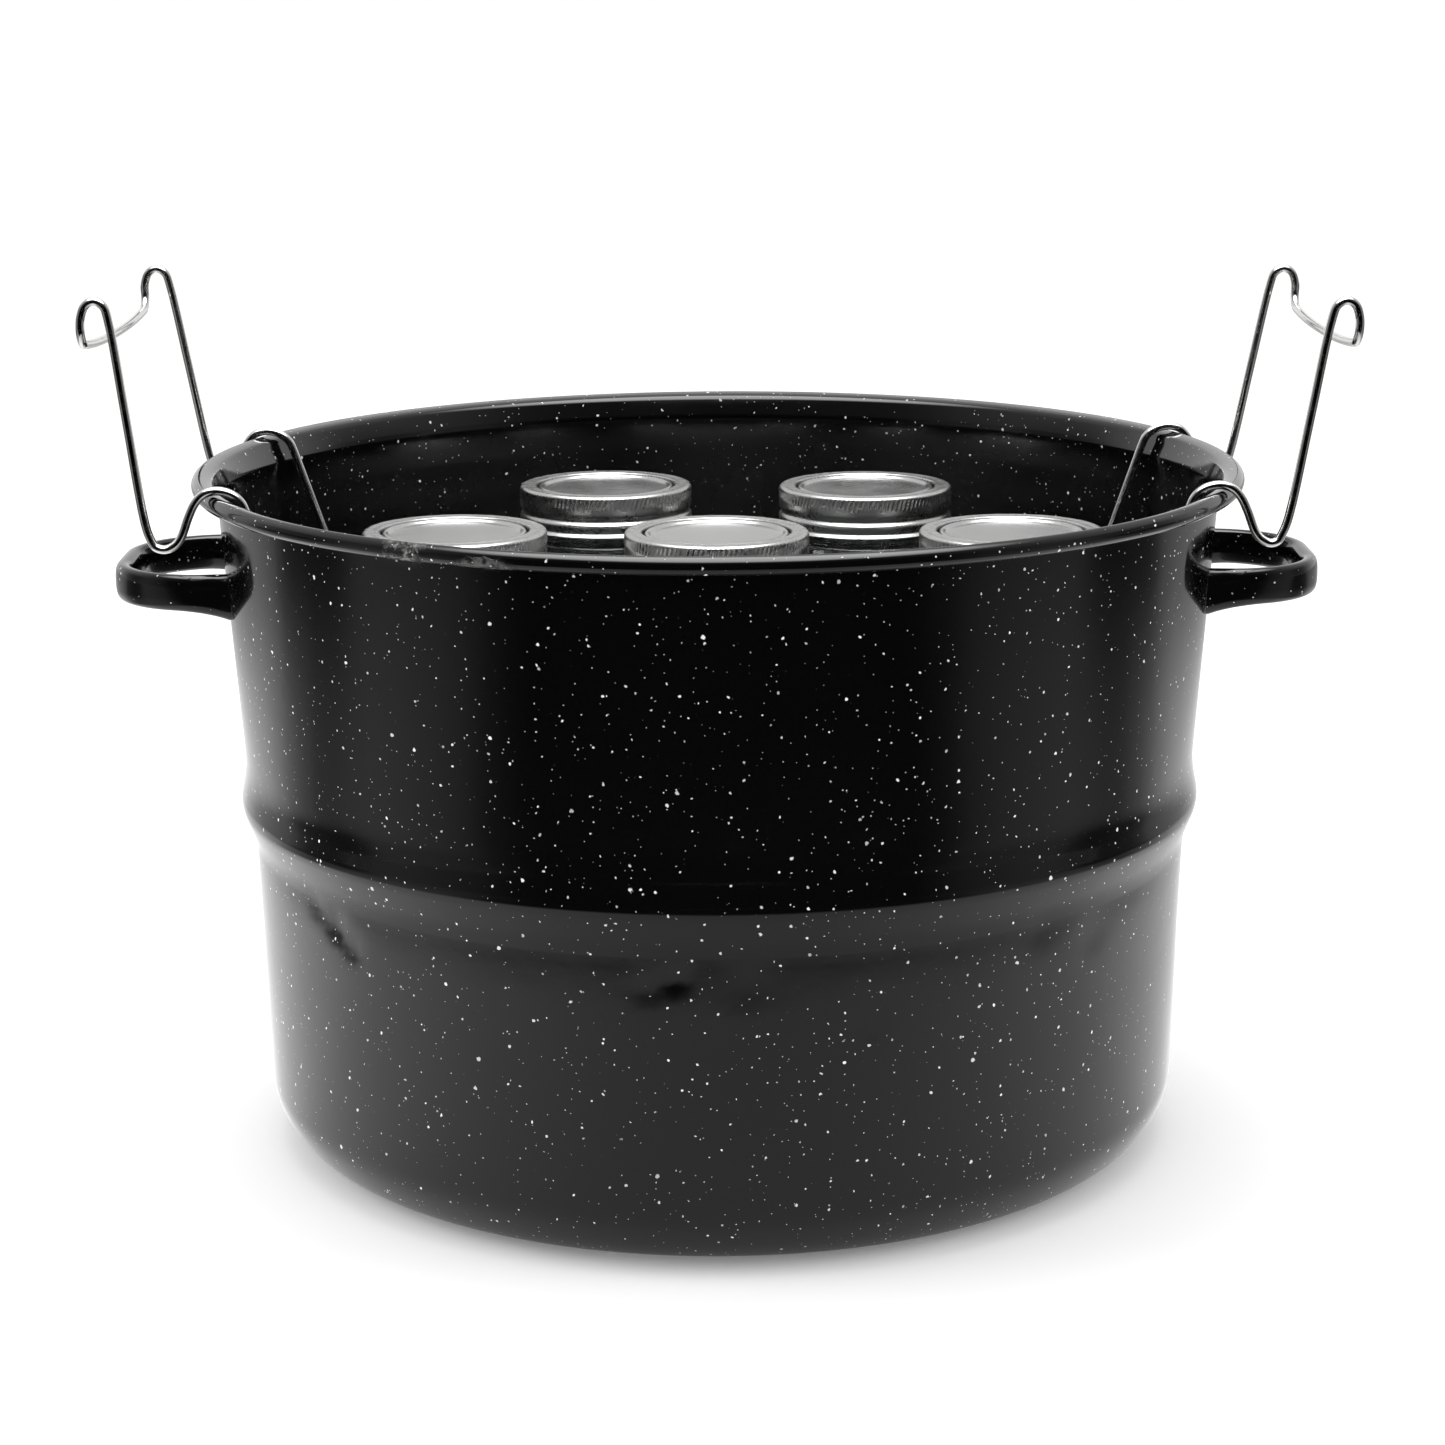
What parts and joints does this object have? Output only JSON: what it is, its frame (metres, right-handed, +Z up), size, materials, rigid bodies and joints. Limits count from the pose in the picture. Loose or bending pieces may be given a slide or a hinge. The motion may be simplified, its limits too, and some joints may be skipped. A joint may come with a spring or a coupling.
{
  "type": "water-bath canner",
  "caption": "Flecked enamel water-bath canning pot with welded loop handles, a bailed wire jar rack hung on the rim, and lift-out glass jars with screw bands.",
  "frame": {"origin": "centre of the flat underside of the pot", "axes": "+Z up, +X through the pot handle and rack bail on one side, the pot is round about Z"},
  "size_m": [0.4802, 0.415, 0.3449],
  "materials": {
    "enamel": "high gloss black enamel with fine random white flecks",
    "wire": "bright plated wire",
    "glass": "clear pressed glass",
    "closure": "satin tinplate"
  },
  "bodies": {
    "pot": {"pot_body": "enamel", "pot_handle_left": "enamel", "pot_handle_right": "enamel"},
    "rack": {"rack_ring_inner": "wire", "rack_ring_middle": "wire", "rack_ring_outer": "wire", "rack_guard_ring": "wire", "rack_hinge_rod_left": "wire", "rack_hinge_rod_right": "wire", "rack_spoke_1": "wire", "rack_spoke_2": "wire", "rack_spoke_3": "wire", "rack_spoke_4": "wire", "rack_spoke_5": "wire", "rack_spoke_6": "wire", "rack_divider_1": "wire", "rack_divider_2": "wire", "rack_divider_3": "wire", "rack_divider_4": "wire", "rack_divider_5": "wire", "rack_divider_6": "wire"},
    "bail_left": {"bail_left": "wire"},
    "bail_right": {"bail_right": "wire"},
    "jar_1": {"jar_1_glass": "glass"},
    "lid_1": {"jar_1_lid": "closure"},
    "band_1": {"jar_1_band": "closure"},
    "jar_2": {"jar_2_glass": "glass"},
    "lid_2": {"jar_2_lid": "closure"},
    "band_2": {"jar_2_band": "closure"},
    "jar_3": {"jar_3_glass": "glass"},
    "lid_3": {"jar_3_lid": "closure"},
    "band_3": {"jar_3_band": "closure"},
    "jar_4": {"jar_4_glass": "glass"},
    "lid_4": {"jar_4_lid": "closure"},
    "band_4": {"jar_4_band": "closure"},
    "jar_5": {"jar_5_glass": "glass"},
    "lid_5": {"jar_5_lid": "closure"},
    "band_5": {"jar_5_band": "closure"},
    "jar_6": {"jar_6_glass": "glass"},
    "lid_6": {"jar_6_lid": "closure"},
    "band_6": {"jar_6_band": "closure"},
    "jar_7": {"jar_7_glass": "glass"},
    "lid_7": {"jar_7_lid": "closure"},
    "band_7": {"jar_7_band": "closure"}
  },
  "joints": [
    {"name": "rack_lift", "type": "slide", "parent": "pot", "child": "rack", "axis": [0, 0, 1], "range_m": [0, 0.24]},
    {"name": "bail_left_swing", "type": "hinge", "parent": "rack", "child": "bail_left", "pos_m": [-0.106, 0, 0.0695], "axis": [0, 1, 0], "range_deg": [0, 14]},
    {"name": "bail_right_swing", "type": "hinge", "parent": "rack", "child": "bail_right", "pos_m": [0.106, 0, 0.0695], "axis": [0, -1, 0], "range_deg": [0, 14]},
    {"name": "jar_1_lift", "type": "slide", "parent": "rack", "child": "jar_1", "axis": [0, 0, 1], "range_m": [0, 0.21]},
    {"name": "closure_1_lift", "type": "slide", "parent": "jar_1", "child": "lid_1", "axis": [0, 0, 1], "range_m": [0, 0.05]},
    {"name": "band_1_turn", "type": "hinge", "parent": "lid_1", "child": "band_1", "pos_m": [-0.0006, -0.011, 0.238], "axis": [0, 0, 1], "range_deg": [0, 450]},
    {"name": "jar_2_lift", "type": "slide", "parent": "rack", "child": "jar_2", "axis": [0, 0, 1], "range_m": [0, 0.21]},
    {"name": "closure_2_lift", "type": "slide", "parent": "jar_2", "child": "lid_2", "axis": [0, 0, 1], "range_m": [0, 0.05]},
    {"name": "band_2_turn", "type": "hinge", "parent": "lid_2", "child": "band_2", "pos_m": [-0.1049, -0.0056, 0.238], "axis": [0, 0, 1], "range_deg": [0, 450]},
    {"name": "jar_3_lift", "type": "slide", "parent": "rack", "child": "jar_3", "axis": [0, 0, 1], "range_m": [0, 0.21]},
    {"name": "closure_3_lift", "type": "slide", "parent": "jar_3", "child": "lid_3", "axis": [0, 0, 1], "range_m": [0, 0.05]},
    {"name": "band_3_turn", "type": "hinge", "parent": "lid_3", "child": "band_3", "pos_m": [0.1164, -0.012, 0.238], "axis": [0, 0, 1], "range_deg": [0, 450]},
    {"name": "jar_4_lift", "type": "slide", "parent": "rack", "child": "jar_4", "axis": [0, 0, 1], "range_m": [0, 0.21]},
    {"name": "closure_4_lift", "type": "slide", "parent": "jar_4", "child": "lid_4", "axis": [0, 0, 1], "range_m": [0, 0.05]},
    {"name": "band_4_turn", "type": "hinge", "parent": "lid_4", "child": "band_4", "pos_m": [-0.0481, 0.1045, 0.238], "axis": [0, 0, 1], "range_deg": [0, 450]},
    {"name": "jar_5_lift", "type": "slide", "parent": "rack", "child": "jar_5", "axis": [0, 0, 1], "range_m": [0, 0.21]},
    {"name": "closure_5_lift", "type": "slide", "parent": "jar_5", "child": "lid_5", "axis": [0, 0, 1], "range_m": [0, 0.05]},
    {"name": "band_5_turn", "type": "hinge", "parent": "lid_5", "child": "band_5", "pos_m": [0.0629, 0.0988, 0.238], "axis": [0, 0, 1], "range_deg": [0, 450]},
    {"name": "jar_6_lift", "type": "slide", "parent": "rack", "child": "jar_6", "axis": [0, 0, 1], "range_m": [0, 0.21]},
    {"name": "closure_6_lift", "type": "slide", "parent": "jar_6", "child": "lid_6", "axis": [0, 0, 1], "range_m": [0, 0.05]},
    {"name": "band_6_turn", "type": "hinge", "parent": "lid_6", "child": "band_6", "pos_m": [-0.056, -0.0975, 0.238], "axis": [0, 0, 1], "range_deg": [0, 450]},
    {"name": "jar_7_lift", "type": "slide", "parent": "rack", "child": "jar_7", "axis": [0, 0, 1], "range_m": [0, 0.21]},
    {"name": "closure_7_lift", "type": "slide", "parent": "jar_7", "child": "lid_7", "axis": [0, 0, 1], "range_m": [0, 0.05]},
    {"name": "band_7_turn", "type": "hinge", "parent": "lid_7", "child": "band_7", "pos_m": [0.0508, -0.0998, 0.238], "axis": [0, 0, 1], "range_deg": [0, 450]}
  ],
  "couplings": [
    {"joint": "bail_left_swing", "follows": "rack_lift", "rad_per_m": 1.018},
    {"joint": "bail_right_swing", "follows": "rack_lift", "rad_per_m": 1.018}
  ]
}
